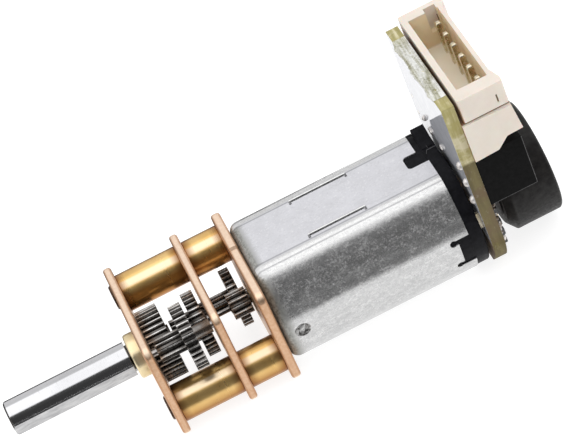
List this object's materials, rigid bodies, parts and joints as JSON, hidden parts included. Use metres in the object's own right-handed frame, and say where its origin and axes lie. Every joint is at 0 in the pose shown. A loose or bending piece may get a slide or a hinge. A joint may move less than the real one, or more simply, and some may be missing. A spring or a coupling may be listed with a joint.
{
  "type": "geared dc motor",
  "caption": "Flat-sided brushed DC motor with an open three-plate spur gearbox, D-cut output shaft, and an encoder board with a socket and magnet disc at the rear.",
  "frame": {"origin": "on the output shaft axis, in the front face of the front gearbox plate, midway between its two tapped mounting holes", "axes": "+X out along the output shaft, +Z towards the socket side of the encoder board, +Y completes a right-handed frame; the D flat faces +Y turned 24 degrees towards -Z at rest"},
  "size_m": [0.0476, 0.0129, 0.0187],
  "materials": {
    "plate_copper": "blanked plate, fine satin",
    "screw_steel": "blackened",
    "post_brass": "turned, bright",
    "bushing_brass": "turned",
    "pin_steel": "ground",
    "can_zinc": "mottled zinc plate",
    "bearing_bronze": "sintered",
    "ferrite": "sintered ferrite",
    "cap_plastic": "moulded",
    "tinned_brass": "tinned",
    "brush_copper": "drawn strip",
    "board_laminate": "glass-epoxy, white solder mask on both faces",
    "sensor_epoxy": "moulded epoxy",
    "solder": "solder",
    "chip_ceramic": "chip resistor",
    "socket_nylon": "natural nylon",
    "shaft_steel": "ground and polished",
    "gear_steel": "dark sintered steel",
    "core_steel": "stacked laminations",
    "winding_copper": "enamelled wire",
    "sleeve_plastic": "phenolic",
    "commutator_copper": "turned",
    "magnet_black": "bonded ferrite, matt black"
  },
  "bodies": {
    "housing": {"front_plate": "plate_copper", "middle_plate": "plate_copper", "rear_plate": "plate_copper", "gearbox_screws": "screw_steel", "front_spacer_lower": "post_brass", "front_spacer_upper": "post_brass", "rear_spacer_lower": "post_brass", "rear_spacer_upper": "post_brass", "output_bushing": "bushing_brass", "main_pin": "pin_steel", "stage3_pin": "pin_steel", "stage1_pin": "pin_steel", "motor_can": "can_zinc", "front_bearing": "bearing_bronze", "stator_magnet_near": "ferrite", "stator_magnet_far": "ferrite", "end_cap": "cap_plastic", "rear_bearing": "bearing_bronze", "motor_terminals": "tinned_brass", "brushes": "brush_copper", "encoder_board": "board_laminate", "hall_sensor_near": "sensor_epoxy", "hall_sensor_far": "sensor_epoxy", "hall_sensor_leads": "tinned_brass", "sensor_solder": "solder", "terminal_solder": "solder", "contact_solder": "solder", "chip_resistors": "chip_ceramic", "connector_housing": "socket_nylon", "connector_contacts": "tinned_brass"},
    "output": {"output_shaft": "shaft_steel", "output_gear": "gear_steel"},
    "stage3_wheel": {"stage3_pinion": "gear_steel", "stage3_gear": "gear_steel"},
    "stage2_wheel": {"stage2_pinion": "gear_steel", "stage2_gear": "gear_steel"},
    "stage1_wheel": {"stage1_pinion": "gear_steel", "stage1_gear": "gear_steel"},
    "rotor": {"motor_shaft": "shaft_steel", "motor_pinion": "gear_steel", "armature_core": "core_steel", "armature_coil_1": "winding_copper", "armature_coil_2": "winding_copper", "armature_coil_3": "winding_copper", "commutator_sleeve": "sleeve_plastic", "commutator_segments": "commutator_copper", "encoder_magnet": "magnet_black"}
  },
  "joints": [
    {"name": "rotor_spin", "type": "hinge", "parent": "housing", "child": "rotor", "pos_m": [0, 0, 0], "axis": [1, 0, 0], "continuous": true},
    {"name": "stage1_spin", "type": "hinge", "parent": "housing", "child": "stage1_wheel", "pos_m": [0, -0.00289, -0.00176], "axis": [1, 0, 0], "continuous": true},
    {"name": "stage2_spin", "type": "hinge", "parent": "housing", "child": "stage2_wheel", "pos_m": [0, 0, 0], "axis": [1, 0, 0], "continuous": true},
    {"name": "stage3_spin", "type": "hinge", "parent": "housing", "child": "stage3_wheel", "pos_m": [0, 0.00315, 0.00212], "axis": [1, 0, 0], "continuous": true},
    {"name": "output_spin", "type": "hinge", "parent": "housing", "child": "output", "pos_m": [0, 0, 0], "axis": [1, 0, 0], "continuous": true}
  ],
  "couplings": [
    {"joint": "stage1_spin", "follows": "rotor_spin", "ratio": -0.41379},
    {"joint": "stage2_spin", "follows": "rotor_spin", "ratio": 0.11638},
    {"joint": "stage3_spin", "follows": "rotor_spin", "ratio": -0.050916},
    {"joint": "output_spin", "follows": "rotor_spin", "ratio": 0.014143}
  ]
}
